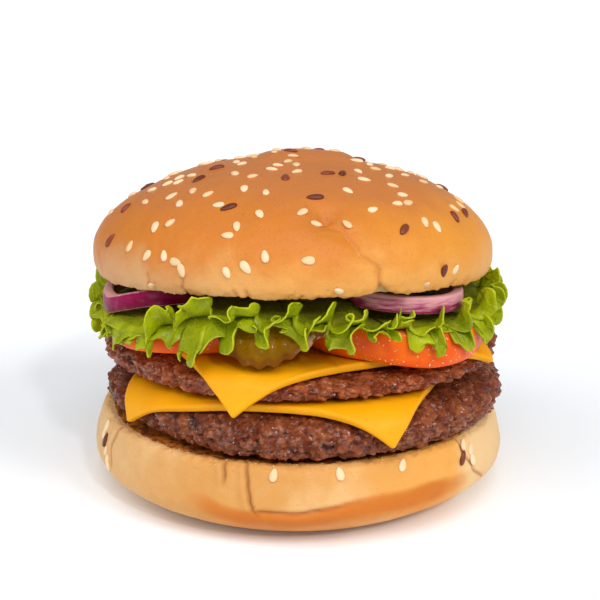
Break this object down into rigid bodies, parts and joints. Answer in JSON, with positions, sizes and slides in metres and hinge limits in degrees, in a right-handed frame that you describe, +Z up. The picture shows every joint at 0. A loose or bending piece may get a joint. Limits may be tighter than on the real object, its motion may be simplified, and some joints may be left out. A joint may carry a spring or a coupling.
{
  "type": "hamburger",
  "caption": "Double cheeseburger: seeded bun halves round two beef patties with cheese slices, tomato, pickle, frilly lettuce and red onion rings.",
  "frame": {"origin": "centre of the flat foot of the bottom bun, on the surface it rests on", "axes": "+Z up through the stack, -Y towards the front, where the toppings and cheese corners show, +X right"},
  "size_m": [0.1136, 0.1146, 0.0913],
  "materials": {
    "bun_crust": "golden brown baked crust with a soft sheen",
    "bun_pale_crust": "pale baked crust, browned low on the front",
    "beef": "griddled minced beef, coarse and moist",
    "cheese": "smooth processed cheese, slightly shiny",
    "tomato": "wet cut tomato with a glossy skin",
    "pickle": "wet crinkle-cut pickled cucumber, translucent",
    "lettuce": "thin fresh leaf, slightly waxy",
    "red_onion": "purple skin, pale cut faces"
  },
  "bodies": {
    "root": {"bun_bottom": "bun_pale_crust", "patty_lower": "beef", "cheese_lower": "cheese", "patty_upper": "beef", "cheese_upper": "cheese", "tomato_left": "tomato", "tomato_right": "tomato", "pickle_slice": "pickle", "lettuce_left": "lettuce", "lettuce_right": "lettuce", "onion_left": "red_onion", "onion_right": "red_onion", "bun_top": "bun_crust"}
  },
  "joints": []
}
